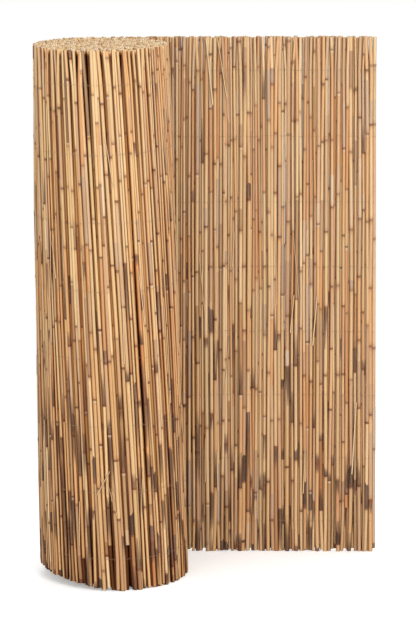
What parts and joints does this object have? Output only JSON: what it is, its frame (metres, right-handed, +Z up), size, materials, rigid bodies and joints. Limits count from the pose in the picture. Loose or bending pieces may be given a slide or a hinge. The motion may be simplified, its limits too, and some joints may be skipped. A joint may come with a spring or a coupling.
{
  "type": "reed screening roll",
  "caption": "Roll of natural reed screening, one metre tall, standing on its butt ends with half a metre of the wire-bound screen let out at the back.",
  "frame": {"origin": "centre of the roll's foot, on the floor that it stands on", "axes": "+Z up along the reeds, +X along the loose end that leaves the back of the roll, -Y towards the viewer"},
  "size_m": [0.6468, 0.2788, 1],
  "materials": {
    "reed": "natural dry reed, satin skin",
    "wound_reed": "packed dry reeds, cut ends showing",
    "wire": "dull galvanised wire"
  },
  "bodies": {
    "root": {"wound_turns": "wound_reed", "outer_turn_reeds": "reed", "loose_end_reeds": "reed", "binding_wire_1": "wire", "binding_wire_2": "wire", "binding_wire_3": "wire", "binding_wire_4": "wire", "binding_wire_5": "wire", "binding_wire_6": "wire", "binding_wire_7": "wire", "binding_wire_8": "wire"}
  },
  "joints": []
}
